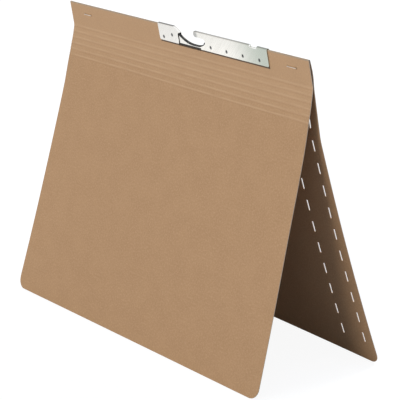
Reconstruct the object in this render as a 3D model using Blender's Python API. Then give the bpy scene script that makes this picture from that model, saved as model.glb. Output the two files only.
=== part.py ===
"""Pendulum hanging folder: a creased kraft board tent with a steel hook plate and a two-prong fastener.

Metres, +Z up. The folder stands on its two lower edges. The spine runs along X, the front faces -Y, and
the origin lies on the ground below the middle of the folder's box.
"""

from math import acos, atan, atan2, cos, hypot, pi, radians, sin

import bmesh
import bpy
from mathutils import Matrix

MM = 0.001

# Board sheet
COVER_WIDTH = 318 * MM
SHEET_DROP = 240 * MM
SPINE_DROP = 20 * MM
BOARD = 0.4 * MM
LAYER_GAP = 0.4 * MM
CORNER_RADIUS = 9 * MM
CREASE_GAP = 0.4 * MM
CREASE_BEAD = 0.15 * MM

# Six pressed creases on the front, and two on the back with the stiff band between them
CREASE_COUNT = 6
CREASE_PITCH = 4.7 * MM
BAND_DROP = 37.5 * MM

# Standing leans, from straight down, positive towards the back
SPINE_LEAN = radians(9.8)
FRONT_BAND_LEAN = radians(-8.3)
FRONT_COVER_LEAN = radians(-15.9)
BACK_BAND_LEAN = radians(8.0)

# Tab slits, counted down the sheet, with the rows measured from the right edge
SLIT_LENGTH = 8.5 * MM
SLIT_WIDTH = 1.3 * MM
SLIT_PITCH = 17.3 * MM
SLIT_FIRST_DROP = 46.1 * MM
SLIT_COUNT = 11
SLIT_ROW_INSETS = (9.7 * MM, 34 * MM)

# Hook plate, folded over the top edge
PLATE = 0.4 * MM
SEAT_GAP = 0.3 * MM
PLATE_LEFT = -25 * MM
PLATE_RIGHT = 112.7 * MM
PLATE_DROP = 12.5 * MM
PLATE_CORNER = 1.4 * MM

# Hook slot: a ramp on its left, a saddle below for the spring wire, and the nose that hooks over the rail
MOUTH_LEFT = -5.6 * MM
RAMP_FOOT_X = 2.4 * MM
RAMP_FOOT_DROP = 3.75 * MM
PEAK_X = 1.45 * MM
PEAK_DROP = 5.4 * MM
SADDLE_X = 21 * MM
SADDLE_DROP = 11.05 * MM
SADDLE_POWER = 2.4
SADDLE_END_X = 31.3 * MM
SADDLE_END_DROP = 9.6 * MM
LEAF_END_DROP = 9.9 * MM
NOSE_TIP_X = 22.2 * MM
NOSE_ROOT_X = 28.5 * MM
NOSE_DROP = 2.6 * MM
SLOT_END_X = 36.2 * MM
SLOT_END_HEIGHT = 7.2 * MM
SLOT_END_ANGLE = radians(-50)

# Finger of the front leaf below the saddle, cut free on its left and along its lower edge
FINGER_LEAST = 0.9 * MM
FINGER_SLIT = 0.6 * MM
RECESS_LEFT = 0.4 * MM
RECESS_RIGHT = 29.6 * MM

# Notch in the top edge
NOTCH_LEFT = 92.6 * MM
NOTCH_WIDTH = 8 * MM
NOTCH_DROP = 0.4 * MM

# Pierced oval crimp marks, as centre and drop
CRIMP_DROP = 9.05 * MM
CRIMP_PITCH = 19.8 * MM
CRIMP_COUNT = 4
CRIMP_FIRST_X = 42.7 * MM
LEFT_CRIMPS = ((-19.2 * MM, 9.65 * MM), (-7.3 * MM, 6.65 * MM))
CRIMP_WIDTH = 2 * MM
CRIMP_HEIGHT = 2.4 * MM

# Spring wire: a run below the finger, a leg up its slit, and a free arm along the saddle
WIRE = 1.0 * MM
WIRE_BEND = 0.9 * MM
RUN_END_X = 27.6 * MM
RUN_GAP = 0.6 * MM
WIRE_END_RADIUS = 3.6 * MM
WIRE_END_ANGLE = radians(-20)

# Clear room in the board behind the slot, the notch and the spring
RELIEF_SIDE = 3.5 * MM
NOTCH_SIDE = 0.5 * MM
NOTCH_ROOM = 2.6 * MM
POCKET_PLAY = 0.85 * MM

# Staples through the doubled strip, near its two ends
STAPLE_LEFT_INSET = 27.5 * MM
STAPLE_RIGHT_INSET = 20.2 * MM
STAPLE_DROP = 8.2 * MM
STAPLE_CROWN = 10 * MM
STAPLE_WIRE = 0.6 * MM
STAPLE_CLINCH = 3.8 * MM

# Two-prong fastener on the inner face of the back band
FASTENER_DROP = 20 * MM
PRONG_SPACING = 80 * MM
PRONG_WIDTH = 6 * MM
PRONG_LENGTH = 36 * MM
TONGUE = 0.3 * MM
STRIP = 0.4 * MM
STRIP_LENGTH = 132 * MM
STRIP_WIDTH = 25 * MM
STRIP_RAISED = 12 * MM
BAR = 0.4 * MM
BAR_LENGTH = 108 * MM
BAR_WIDTH = 11 * MM
BAR_LIP = 0.6 * MM
BAR_CORNER = 3 * MM
PRONG_SLOT_PLAY = 0.4 * MM

ARC_STEPS = 8
CUT_MARGIN = 2 * MM
WELD = 1e-7

# Sizes that follow
SPINE_INNER = LAYER_GAP / 2
SPINE_OUTER = SPINE_INNER + BOARD
PLATE_INNER = SPINE_OUTER + SEAT_GAP
PLATE_OUTER = PLATE_INNER + PLATE
PLATE_TOP = SEAT_GAP + PLATE
STAPLE_LEFT_X = STAPLE_LEFT_INSET - COVER_WIDTH / 2
STAPLE_RIGHT_X = COVER_WIDTH / 2 - STAPLE_RIGHT_INSET
LEAF_DROP = SADDLE_DROP - WIRE / 2
RECESS_DROP = LEAF_DROP + FINGER_LEAST
RELIEF_DROP = RECESS_DROP + SEAT_GAP
RUN_DROP = RECESS_DROP + RUN_GAP + WIRE / 2
POCKET_DROP = RUN_DROP + WIRE / 2 + POCKET_PLAY
PEAK_FALL = atan(SADDLE_POWER * (SADDLE_DROP - PEAK_DROP) / (SADDLE_X - PEAK_X))
SADDLE_RISE = atan(2 * (SADDLE_DROP - SADDLE_END_DROP) / (SADDLE_END_X - SADDLE_X))
LEG_X = PEAK_X - WIRE_BEND * (1 + sin(PEAK_FALL))
SLAT_COUNT = CREASE_COUNT - 1
SLAT_TURN = (FRONT_COVER_LEAN - FRONT_BAND_LEAN) / CREASE_COUNT
FRONT_BAND_DROP = SLAT_COUNT * CREASE_PITCH
FRONT_COVER_DROP = SHEET_DROP - SPINE_DROP - FRONT_BAND_DROP
BACK_COVER_DROP = SHEET_DROP - SPINE_DROP - BAND_DROP
TONGUE_LIFT = SEAT_GAP
STRIP_LIFT = TONGUE_LIFT + TONGUE + SEAT_GAP
BAR_LIFT = STRIP_LIFT + STRIP + SEAT_GAP
PRONG_LIFT = BAR_LIFT + BAR + SEAT_GAP
PRONG_SLOT = TONGUE + 2 * PRONG_SLOT_PLAY

# Placement of an outline drawn in the curve's plane: thickness along Y, or a profile run along X
FACING = Matrix(((1, 0, 0, 0), (0, 0, -1, 0), (0, 1, 0, 0), (0, 0, 0, 1)))
ALONG_X = Matrix(((0, 0, 1, 0), (1, 0, 0, 0), (0, 1, 0, 0), (0, 0, 0, 1)))


def clear_scene():
    for item in list(bpy.data.objects):
        bpy.data.objects.remove(item)


def new_collection(name):
    group = bpy.data.collections.new(name)
    bpy.context.scene.collection.children.link(group)
    return group


def new_material(name, colour, roughness, metallic=0.0):
    material = bpy.data.materials.new(name)
    material.use_nodes = True
    shader = material.node_tree.nodes["Principled BSDF"]
    shader.inputs["Base Color"].default_value = (*colour, 1)
    shader.inputs["Roughness"].default_value = roughness
    shader.inputs["Metallic"].default_value = metallic
    return material


def arc(centre, radii, start, end, steps=ARC_STEPS):
    """Points along an ellipse, from one angle to another."""
    angles = [start + (end - start) * k / steps for k in range(steps + 1)]
    return [(centre[0] + radii[0] * cos(a), centre[1] + radii[1] * sin(a)) for a in angles]


def prism(outline, depth, placement):
    """A closed mesh: a flat outline given a thickness, turned and moved into place."""
    curve = bpy.data.curves.new("outline", "CURVE")
    curve.dimensions = "2D"
    curve.fill_mode = "BOTH"
    curve.extrude = depth / 2
    spline = curve.splines.new("POLY")
    spline.points.add(len(outline) - 1)
    for point, (u, v) in zip(spline.points, outline):
        point.co = (u, v, 0, 1)
    spline.use_cyclic_u = True
    holder = bpy.data.objects.new("outline", curve)
    bpy.context.scene.collection.objects.link(holder)
    graph = bpy.context.evaluated_depsgraph_get()
    mesh = bpy.data.meshes.new_from_object(holder.evaluated_get(graph))
    bpy.data.objects.remove(holder)
    shape = bmesh.new()
    shape.from_mesh(mesh)
    bmesh.ops.remove_doubles(shape, verts=shape.verts, dist=WELD)
    bmesh.ops.recalc_face_normals(shape, faces=shape.faces)
    shape.transform(placement)
    shape.to_mesh(mesh)
    shape.free()
    return mesh


def boxes(corners):
    """One mesh of separate boxes, each given by its lowest and highest corner."""
    mesh = bpy.data.meshes.new("boxes")
    shape = bmesh.new()
    for low, high in corners:
        size = [b - a for a, b in zip(low, high)]
        middle = [(a + b) / 2 for a, b in zip(low, high)]
        bmesh.ops.create_cube(shape, matrix=Matrix.Translation(middle) @ Matrix.Diagonal((*size, 1)))
    shape.to_mesh(mesh)
    shape.free()
    return mesh


def pivot(name, parent, location, lean):
    """An empty on a crease, turned about X from its parent."""
    empty = bpy.data.objects.new(name, None)
    empty.empty_display_size = CORNER_RADIUS
    empty.parent = parent
    empty.location = location
    empty.rotation_euler = (lean, 0, 0)
    PARTS.objects.link(empty)
    return empty


def add_part(name, data, parent, material):
    item = bpy.data.objects.new(name, data)
    item.parent = parent
    data.materials.clear()
    data.materials.append(material)
    PARTS.objects.link(item)
    return item


def shape_with(item, mesh, operation="DIFFERENCE"):
    """Cut a part with a mesh, or keep only what lies inside it."""
    cutter = bpy.data.objects.new(item.name + "_cutter", mesh)
    cutter.parent = item.parent
    cutter.hide_render = True
    cutter.display_type = "WIRE"
    CUTTERS.objects.link(cutter)
    modifier = item.modifiers.new(operation.title(), "BOOLEAN")
    modifier.operation = operation
    modifier.solver = "EXACT"
    modifier.object = cutter


def below(start, lean, across, drop):
    """The point reached from start by going across and down a panel that leans."""
    y = start[0] + across * cos(lean) + drop * sin(lean)
    z = start[1] + across * sin(lean) - drop * cos(lean)
    return (y, z)


def front_slat_leans():
    return [FRONT_BAND_LEAN + SLAT_TURN * k for k in range(SLAT_COUNT)]


def front_crease_points(start=(0.0, 0.0), turn=0.0):
    """The creases down the outer face of the front band, as points in the YZ plane."""
    points = [start]
    for lean in front_slat_leans():
        points.append(below(points[-1], lean - turn, 0, CREASE_PITCH))
    return points


def standing_place():
    """The lean of the back cover that sets both lower edges on the ground, and the spine's place."""
    top = (0.0, 0.0)
    front_crease = below(top, SPINE_LEAN, -SPINE_OUTER, SPINE_DROP)
    last_crease = front_crease_points(front_crease)[-1]
    front_foot = below(last_crease, FRONT_COVER_LEAN, BOARD, FRONT_COVER_DROP)
    front_reach = below(last_crease, FRONT_COVER_LEAN, 0, FRONT_COVER_DROP)[0]
    back_crease = below(top, SPINE_LEAN, SPINE_OUTER, SPINE_DROP)
    band_crease = below(back_crease, BACK_BAND_LEAN, 0, BAND_DROP)
    height = band_crease[1] - front_foot[1]
    lean = atan2(BOARD, BACK_COVER_DROP) + acos(height / hypot(BACK_COVER_DROP, BOARD))
    back_reach = below(band_crease, lean, 0, BACK_COVER_DROP)[0]
    return lean, (0, -(front_reach + back_reach) / 2, -front_foot[1])


def fold_profile(inner, outer, drop):
    """A sheet folded over the top edge, seen along the spine."""
    round_centre = (0, -SPINE_OUTER)
    over = arc(round_centre, (outer, outer), pi, 0)
    under = arc(round_centre, (inner, inner), 0, pi)
    return [(-outer, -drop)] + over + [(outer, -drop), (inner, -drop)] + under + [(-inner, -drop)]


def saddle_curve(x, middle, end):
    """The depth of a saddle line that falls from the peak to the middle, then rises to its end."""
    if x < SADDLE_X:
        share = (SADDLE_X - x) / (SADDLE_X - PEAK_X)
        return middle - (SADDLE_DROP - PEAK_DROP) * share ** SADDLE_POWER
    share = (x - SADDLE_X) / (SADDLE_END_X - SADDLE_X)
    return middle - (middle - end) * share ** 2


def saddle_points(start, middle, end, steps=12):
    xs = [start + (SADDLE_END_X - start) * k / steps for k in range(steps + 1)]
    return [(x, -saddle_curve(x, middle, end)) for x in xs]


def plate_outline():
    """The hook plate seen from the front, open above its top edge."""
    lid = PLATE_TOP + CUT_MARGIN
    nose_radius = (PLATE_TOP + NOSE_DROP) / 2
    nose_centre = (NOSE_TIP_X + nose_radius, (PLATE_TOP - NOSE_DROP) / 2)
    end_radii = (SLOT_END_X - NOSE_ROOT_X, SLOT_END_HEIGHT / 2)
    end_centre = (NOSE_ROOT_X, -NOSE_DROP - SLOT_END_HEIGHT / 2)
    corner = (PLATE_CORNER, PLATE_CORNER)
    low = PLATE_CORNER - PLATE_DROP
    notch_right = NOTCH_LEFT + NOTCH_WIDTH
    outline = arc((PLATE_LEFT + PLATE_CORNER, low), corner, 1.5 * pi, pi)
    outline += [(PLATE_LEFT, lid), (MOUTH_LEFT, lid), (MOUTH_LEFT, PLATE_TOP)]
    outline.append((RAMP_FOOT_X, -RAMP_FOOT_DROP))
    outline += saddle_points(RAMP_FOOT_X, LEAF_DROP, LEAF_END_DROP)
    outline += arc(end_centre, end_radii, SLOT_END_ANGLE, pi / 2)
    outline += arc(nose_centre, (nose_radius, nose_radius), 1.5 * pi, pi / 2)
    outline += [(nose_centre[0], lid), (NOTCH_LEFT, lid), (NOTCH_LEFT, -NOTCH_DROP)]
    outline += [(notch_right, -NOTCH_DROP), (notch_right, lid), (PLATE_RIGHT, lid)]
    outline += arc((PLATE_RIGHT - PLATE_CORNER, low), corner, 0, -pi / 2)
    return outline


def crimp_places():
    right = [(CRIMP_FIRST_X + CRIMP_PITCH * k, CRIMP_DROP) for k in range(CRIMP_COUNT)]
    return list(LEFT_CRIMPS) + right


def crimp_punches():
    """Small oval punches through both leaves of the plate."""
    mesh = bpy.data.meshes.new("punches")
    shape = bmesh.new()
    upright = Matrix.Rotation(pi / 2, 4, "X") @ Matrix.Diagonal((1, CRIMP_HEIGHT / CRIMP_WIDTH, 1, 1))
    for x, drop in crimp_places():
        bmesh.ops.create_cone(shape, cap_ends=True, segments=2 * ARC_STEPS, radius1=CRIMP_WIDTH / 2,
                              radius2=CRIMP_WIDTH / 2, depth=2 * (PLATE_OUTER + CUT_MARGIN),
                              matrix=Matrix.Translation((x, 0, -drop)) @ upright)
    shape.to_mesh(mesh)
    shape.free()
    return mesh


def make_spine(parent, board):
    profile = fold_profile(SPINE_INNER, SPINE_OUTER, SPINE_DROP - CREASE_GAP / 2)
    spine = add_part("spine_fold", prism(profile, COVER_WIDTH, ALONG_X), parent, board)
    through = SPINE_OUTER + CUT_MARGIN
    slot_room = ((MOUTH_LEFT - RELIEF_SIDE, -through, -RELIEF_DROP),
                 (SLOT_END_X + RELIEF_SIDE, through, CUT_MARGIN))
    notch_room = ((NOTCH_LEFT - NOTCH_SIDE, -through, -NOTCH_DROP - NOTCH_ROOM),
                  (NOTCH_LEFT + NOTCH_WIDTH + NOTCH_SIDE, through, CUT_MARGIN))
    spring_pocket = ((LEG_X - WIRE / 2 - POCKET_PLAY, -through, -POCKET_DROP),
                     (RUN_END_X + POCKET_PLAY, through, -RECESS_DROP))
    cuts = [notch_room, spring_pocket]
    half = STAPLE_WIRE / 2 + SEAT_GAP
    leg = (STAPLE_CROWN - STAPLE_WIRE) / 2
    for middle in (STAPLE_LEFT_X, STAPLE_RIGHT_X):
        for x in (middle - leg, middle + leg):
            cuts.append(((x - half, -through, -STAPLE_DROP - half), (x + half, through, -STAPLE_DROP + half)))
    shape_with(spine, boxes([slot_room]))
    shape_with(spine, boxes(cuts))


def make_hook_plate(parent, steel):
    profile = fold_profile(PLATE_INNER, PLATE_OUTER, PLATE_DROP + CUT_MARGIN)
    middle = Matrix.Translation(((PLATE_LEFT + PLATE_RIGHT) / 2, 0, 0))
    length = PLATE_RIGHT - PLATE_LEFT + 2 * CUT_MARGIN
    plate = add_part("hanger_plate", prism(profile, length, middle @ ALONG_X), parent, steel)
    depth = 2 * (PLATE_OUTER + CUT_MARGIN)
    shape_with(plate, prism(plate_outline(), depth, FACING), "INTERSECT")
    mouth = FINGER_SLIT - RAMP_FOOT_DROP
    foot = -PLATE_DROP - CUT_MARGIN
    free_edge = [(RAMP_FOOT_X - FINGER_SLIT, mouth), (RAMP_FOOT_X - FINGER_SLIT, -RECESS_DROP),
                 (RECESS_LEFT, -RECESS_DROP), (RECESS_LEFT, foot), (RECESS_RIGHT, foot),
                 (RECESS_RIGHT, -RECESS_DROP), (RAMP_FOOT_X, -RECESS_DROP), (RAMP_FOOT_X, mouth)]
    front_only = Matrix.Translation((0, -depth / 2, 0))
    shape_with(plate, prism(free_edge, depth, front_only @ FACING))
    shape_with(plate, crimp_punches())


def spring_path():
    """The spring wire from its run, up the leg, over the peak, along the saddle and up to its free end."""
    bend = (WIRE_BEND, WIRE_BEND)
    turned = pi / 2 - PEAK_FALL
    peak_centre = (LEG_X + WIRE_BEND, -PEAK_DROP - WIRE_BEND * sin(turned))
    rise = SADDLE_RISE - pi / 2
    end_centre = (SADDLE_END_X - WIRE_END_RADIUS * cos(rise), -SADDLE_END_DROP - WIRE_END_RADIUS * sin(rise))
    path = [(RUN_END_X, -RUN_DROP)]
    path += arc((LEG_X + WIRE_BEND, WIRE_BEND - RUN_DROP), bend, 1.5 * pi, pi, 4)
    path += arc(peak_centre, bend, pi, turned, 6)
    path += saddle_points(PEAK_X, SADDLE_DROP, SADDLE_END_DROP)[1:]
    path += arc(end_centre, (WIRE_END_RADIUS, WIRE_END_RADIUS), rise, WIRE_END_ANGLE, 4)[1:]
    return path


def make_spring(parent, black):
    curve = bpy.data.curves.new("hook_spring", "CURVE")
    curve.dimensions = "3D"
    curve.bevel_depth = WIRE / 2
    curve.bevel_resolution = 2
    curve.use_fill_caps = True
    path = spring_path()
    spline = curve.splines.new("POLY")
    spline.points.add(len(path) - 1)
    for point, (x, z) in zip(spline.points, path):
        point.co = (x - LEG_X, 0, z + RUN_DROP, 1)
    spline.use_smooth = True
    anchor = pivot("spring_anchor", parent, (LEG_X, 0, -RUN_DROP), 0)
    add_part("hook_spring", curve, anchor, black)


def make_staple(name, parent, x, steel):
    """A crown on the front, two legs through both layers, and ends clinched inwards at the back."""
    near = SPINE_OUTER + SEAT_GAP
    far = near + STAPLE_WIRE
    out = STAPLE_CROWN / 2
    leg = out - STAPLE_WIRE
    tip = out - STAPLE_CLINCH
    outline = [(-out, -far), (out, -far), (out, far), (tip, far), (tip, near), (leg, near),
               (leg, -near), (-leg, -near), (-leg, near), (-tip, near), (-tip, far), (-out, far)]
    place = Matrix.Translation((x, 0, -STAPLE_DROP))
    add_part(name, prism(outline, STAPLE_WIRE, place), parent, steel)


def front_band_profile():
    """The creased band seen along the spine, with a small raised bead at each inner crease."""
    creases = front_crease_points(turn=FRONT_BAND_LEAN)
    leans = [lean - FRONT_BAND_LEAN for lean in front_slat_leans()]
    half_gap = CREASE_GAP / 2
    outer = [below(creases[0], leans[0], 0, half_gap)]
    inner = [below(creases[0], leans[0], BOARD, half_gap)]
    for crease, lean in zip(creases[1:-1], leans[1:]):
        outer += [below(crease, lean, 0, -CREASE_BEAD), below(crease, lean, -CREASE_BEAD, 0),
                  below(crease, lean, 0, CREASE_BEAD)]
        inner.append(below(crease, lean, BOARD, 0))
    outer.append(below(creases[-1], leans[-1], 0, -half_gap))
    inner.append(below(creases[-1], leans[-1], BOARD, -half_gap))
    return outer + inner[::-1]


def cover_outline(drop):
    """A panel from its crease down to a free edge with two rounded corners."""
    half = COVER_WIDTH / 2
    radii = (CORNER_RADIUS, CORNER_RADIUS)
    low = CORNER_RADIUS - drop
    right = arc((half - CORNER_RADIUS, low), radii, 0, -pi / 2)
    left = arc((CORNER_RADIUS - half, low), radii, -pi / 2, -pi)
    return [(-half, -CREASE_GAP / 2), (half, -CREASE_GAP / 2)] + right + left


def slit_boxes(first_drop, last_drop):
    """The tab slits whose middles lie between two depths of the sheet, measured from the first."""
    corners = []
    for inset in SLIT_ROW_INSETS:
        x = COVER_WIDTH / 2 - inset
        for k in range(SLIT_COUNT):
            drop = SLIT_FIRST_DROP + SLIT_PITCH * k
            if first_drop <= drop < last_drop:
                z = first_drop - drop
                corners.append(((x - SLIT_WIDTH / 2, -CUT_MARGIN, z - SLIT_LENGTH / 2),
                                (x + SLIT_WIDTH / 2, CUT_MARGIN, z + SLIT_LENGTH / 2)))
    return boxes(corners)


def make_front(spine, board):
    band_pivot = pivot("front_band_crease", spine, (0, -SPINE_OUTER, -SPINE_DROP), FRONT_BAND_LEAN - SPINE_LEAN)
    add_part("front_band", prism(front_band_profile(), COVER_WIDTH, ALONG_X), band_pivot, board)
    y, z = front_crease_points(turn=FRONT_BAND_LEAN)[-1]
    cover_pivot = pivot("front_cover_crease", band_pivot, (0, y, z), FRONT_COVER_LEAN - FRONT_BAND_LEAN)
    inside = Matrix.Translation((0, BOARD / 2, 0))
    add_part("front_cover", prism(cover_outline(FRONT_COVER_DROP), BOARD, inside @ FACING), cover_pivot, board)


def make_back(spine, cover_lean, board):
    band_pivot = pivot("back_band_crease", spine, (0, SPINE_OUTER, -SPINE_DROP), BACK_BAND_LEAN - SPINE_LEAN)
    half = COVER_WIDTH / 2
    low = (-half, -BOARD, CREASE_GAP / 2 - BAND_DROP)
    high = (half, 0, -CREASE_GAP / 2)
    band = add_part("back_band", boxes([(low, high)]), band_pivot, board)
    shape_with(band, slit_boxes(SPINE_DROP, SPINE_DROP + BAND_DROP))
    cover_pivot = pivot("back_cover_crease", band_pivot, (0, 0, -BAND_DROP), cover_lean - BACK_BAND_LEAN)
    inside = Matrix.Translation((0, -BOARD / 2, 0))
    outline = cover_outline(BACK_COVER_DROP)
    cover = add_part("back_cover", prism(outline, BOARD, inside @ FACING), cover_pivot, board)
    shape_with(cover, slit_boxes(SPINE_DROP + BAND_DROP, SHEET_DROP))
    return band_pivot


def prong_slots():
    half = PRONG_WIDTH / 2 + PRONG_SLOT_PLAY
    reach = PRONG_LIFT + CUT_MARGIN
    corners = []
    for x in (-PRONG_SPACING / 2, PRONG_SPACING / 2):
        corners.append(((x - PRONG_SLOT / 2, -reach, -half), (x + PRONG_SLOT / 2, 0, half)))
    return boxes(corners)


def make_fastener(band_pivot, strip_board, steel):
    seat = pivot("fastener_seat", band_pivot, (0, -BOARD, -FASTENER_DROP), 0)
    edge = STRIP_WIDTH / 2
    raised = STRIP_RAISED / 2
    lip = BAR_WIDTH / 2

    # The strip is glued down along its edges and stands up over the tongue's base
    glue = SEAT_GAP
    strip_profile = [(-glue, edge), (-glue, raised + STRIP), (-STRIP_LIFT, raised), (-STRIP_LIFT, -raised),
                     (-glue, -raised - STRIP), (-glue, -edge), (-glue - STRIP, -edge),
                     (-glue - STRIP, -raised - STRIP), (-STRIP_LIFT - STRIP, -raised),
                     (-STRIP_LIFT - STRIP, raised), (-glue - STRIP, raised + STRIP), (-glue - STRIP, edge)]
    strip = add_part("fastener_strip", prism(strip_profile, STRIP_LENGTH, ALONG_X), seat, strip_board)
    shape_with(strip, prong_slots())

    # The tongue lies under the strip, and its two prongs are folded inwards over the bar
    out = PRONG_SPACING / 2 + TONGUE / 2
    tip = out - PRONG_LENGTH
    base = -TONGUE_LIFT
    fold = -PRONG_LIFT
    tongue_outline = [(-out, base), (-out, fold - TONGUE), (-tip, fold - TONGUE), (-tip, fold),
                      (TONGUE - out, fold), (TONGUE - out, base - TONGUE), (out - TONGUE, base - TONGUE),
                      (out - TONGUE, fold), (tip, fold), (tip, fold - TONGUE), (out, fold - TONGUE), (out, base)]
    add_part("fastener_tongue", prism(tongue_outline, PRONG_WIDTH, Matrix.Identity(4)), seat, steel)

    # The bar is a shallow channel with rounded corners
    floor = -BAR_LIFT
    bar_profile = [(floor, -lip), (floor, lip), (floor - BAR - BAR_LIP, lip), (floor - BAR - BAR_LIP, lip - BAR),
                   (floor - BAR, lip - BAR), (floor - BAR, BAR - lip), (floor - BAR - BAR_LIP, BAR - lip),
                   (floor - BAR - BAR_LIP, -lip)]
    bar = add_part("cover_bar", prism(bar_profile, BAR_LENGTH + 2 * CUT_MARGIN, ALONG_X), seat, steel)
    corner = (BAR_CORNER, BAR_CORNER)
    x = BAR_LENGTH / 2 - BAR_CORNER
    z = lip - BAR_CORNER
    rounded = arc((x, z), corner, 0, pi / 2) + arc((-x, z), corner, pi / 2, pi)
    rounded += arc((-x, -z), corner, pi, 1.5 * pi) + arc((x, -z), corner, 1.5 * pi, 2 * pi)
    shape_with(bar, prism(rounded, 2 * (PRONG_LIFT + CUT_MARGIN), FACING), "INTERSECT")
    shape_with(bar, prong_slots())


def main():
    kraft = new_material("kraft_board", (0.45, 0.29, 0.17), 0.9)
    grey_board = new_material("strip_board", (0.36, 0.24, 0.15), 0.9)
    nickel = new_material("nickel_steel", (0.80, 0.80, 0.78), 0.28, 1.0)
    coppered = new_material("coppered_wire", (0.60, 0.45, 0.33), 0.35, 1.0)
    black = new_material("black_wire", (0.015, 0.015, 0.017), 0.4, 0.5)

    back_cover_lean, place = standing_place()
    spine = pivot("spine_top", None, place, SPINE_LEAN)
    make_spine(spine, kraft)
    make_hook_plate(spine, nickel)
    make_spring(spine, black)
    make_staple("staple_left", spine, STAPLE_LEFT_X, coppered)
    make_staple("staple_right", spine, STAPLE_RIGHT_X, coppered)
    make_front(spine, kraft)
    band_pivot = make_back(spine, back_cover_lean, kraft)
    make_fastener(band_pivot, grey_board, nickel)


clear_scene()
PARTS = new_collection("hanging_folder")
CUTTERS = new_collection("hanging_folder_cutters")
main()
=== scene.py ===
"""Looks of a pendulum hanging folder: a kraft board tent with a nickel hook plate and a prong fastener.

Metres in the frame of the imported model: +X along the spine, -Y to the front, +Z up. A place on the board
is given in sheet coordinates: x along the spine, and t down the sheet from the top fold, negative on the
front and positive on the back.
"""

from math import cos, pi, radians, sin, sqrt, tan

import bmesh
import bpy
import numpy as np
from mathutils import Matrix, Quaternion, Vector, noise


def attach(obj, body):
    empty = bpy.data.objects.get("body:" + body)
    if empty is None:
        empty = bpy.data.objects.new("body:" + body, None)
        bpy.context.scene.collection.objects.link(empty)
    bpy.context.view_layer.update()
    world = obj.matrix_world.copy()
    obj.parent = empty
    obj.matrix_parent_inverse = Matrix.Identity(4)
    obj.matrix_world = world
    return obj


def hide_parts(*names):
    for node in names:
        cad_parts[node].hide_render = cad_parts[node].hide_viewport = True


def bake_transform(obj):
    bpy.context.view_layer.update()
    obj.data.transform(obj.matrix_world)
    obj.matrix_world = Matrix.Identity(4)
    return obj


MM = 0.001

# Board sheet, as in the part
COVER_WIDTH = 318 * MM
SHEET_DROP = 240 * MM
SPINE_DROP = 20 * MM
BOARD = 0.4 * MM
SPINE_OUTER = 0.6 * MM
CORNER_RADIUS = 9 * MM
CREASE_COUNT = 6
CREASE_PITCH = 4.7 * MM
FRONT_BAND_END = SPINE_DROP + (CREASE_COUNT - 1) * CREASE_PITCH
BACK_BAND_END = 57.5 * MM
HALF_WIDTH = COVER_WIDTH / 2

# Standing place of the top fold, and leans from straight down, positive towards the back
TOP_FOLD = (-2.58 * MM, 231.972 * MM)
SPINE_LEAN = radians(9.8)
FRONT_BAND_LEAN = radians(-8.3)
FRONT_COVER_LEAN = radians(-15.9)
BACK_BAND_LEAN = radians(8.0)
BACK_COVER_LEAN = radians(16.352)

# How the real sheet departs from flat panels: covers that twist and sag, a top strip that parts at its ends
# and is cut in at the left one, a front that sways near its ends, slight waves, and soft, beaded creases
FRONT_TWIST = radians(3.84)
FRONT_BOW = radians(1.35)
BACK_TWIST = radians(0.37)
BACK_BOW = radians(2.21)
FLARE = 0.8 * MM
FLARE_LENGTH = 34 * MM
END_TAPER = 1.9 * MM
TAPER_DROP = 34 * MM
LEFT_SWAY = 0.8 * MM
LEFT_SWAY_DROPS = (22 * MM, 46 * MM, 72 * MM)
RIGHT_SWAY = 1.2 * MM
RIGHT_SWAY_DROPS = (18 * MM, 65 * MM, 138 * MM)
SWAY_LENGTH = 90 * MM
WAVE = 0.28 * MM
WAVE_LENGTH = (110 * MM, 75 * MM)
WAVE_SLICE = 0.37
WAVE_RISE = (SPINE_DROP, 2.5 * SPINE_DROP)
CREASE_SOFT = 0.7 * MM
BEAD_HEIGHT = 0.16 * MM
BEAD_WIDTH = 0.5 * MM

# Tab slits, and the room cut in the board behind the hook slot, the spring and the notch
SLIT_LENGTH = 8.5 * MM
SLIT_WIDTH = 1.5 * MM
SLIT_BURR = 0.12 * MM
SLIT_LIP = 0.9 * MM
SLIT_PITCH = 17.3 * MM
SLIT_FIRST_DROP = 46.1 * MM
SLIT_COUNT = 11
SLIT_ROW_INSETS = (9.7 * MM, 34 * MM)
RELIEF_LEFT = -9.1 * MM
RELIEF_RIGHT = 39.7 * MM
RELIEF_DROP = 11.75 * MM
POCKET_LEFT = -1.3 * MM
POCKET_RIGHT = 28.45 * MM
POCKET_DROP = 13.9 * MM
NOTCH_LEFT = 90.5 * MM
NOTCH_RIGHT = 101.1 * MM
NOTCH_DROP = 3 * MM
POCKET_DENT = 0.3 * MM

# Hook plate, with places along the spine and above its top fold; notch and nose are deeper than the part's
PLATE_INNER = 0.9 * MM
PLATE_OUTER = 1.3 * MM
PLATE_TOP = 0.7 * MM
PLATE_ENDS = (-25 * MM, 112.7 * MM)
PLATE_DROP = 12.5 * MM
PLATE_FLAT = -1.2 * SPINE_OUTER
RAMP = ((-5.6 * MM, PLATE_TOP), (2.4 * MM, -3.75 * MM))
PLATE_NOTCH = ((91.0 * MM, PLATE_TOP), (91.0 * MM, -1.4 * MM), (100.6 * MM, -1.4 * MM),
               (100.6 * MM, PLATE_TOP))
NOSE_MIDDLE = (24.4 * MM, -2.0 * MM)
NOSE_TIP_X = 22.2 * MM
NOSE_DROP = 3.8 * MM
NOSE_LIP_END = 34.2 * MM
NOSE_LIP_ROOT = -1.6 * MM
NOSE_PROUD = 0.015 * MM
NOSE_STEPS = 6

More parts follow.
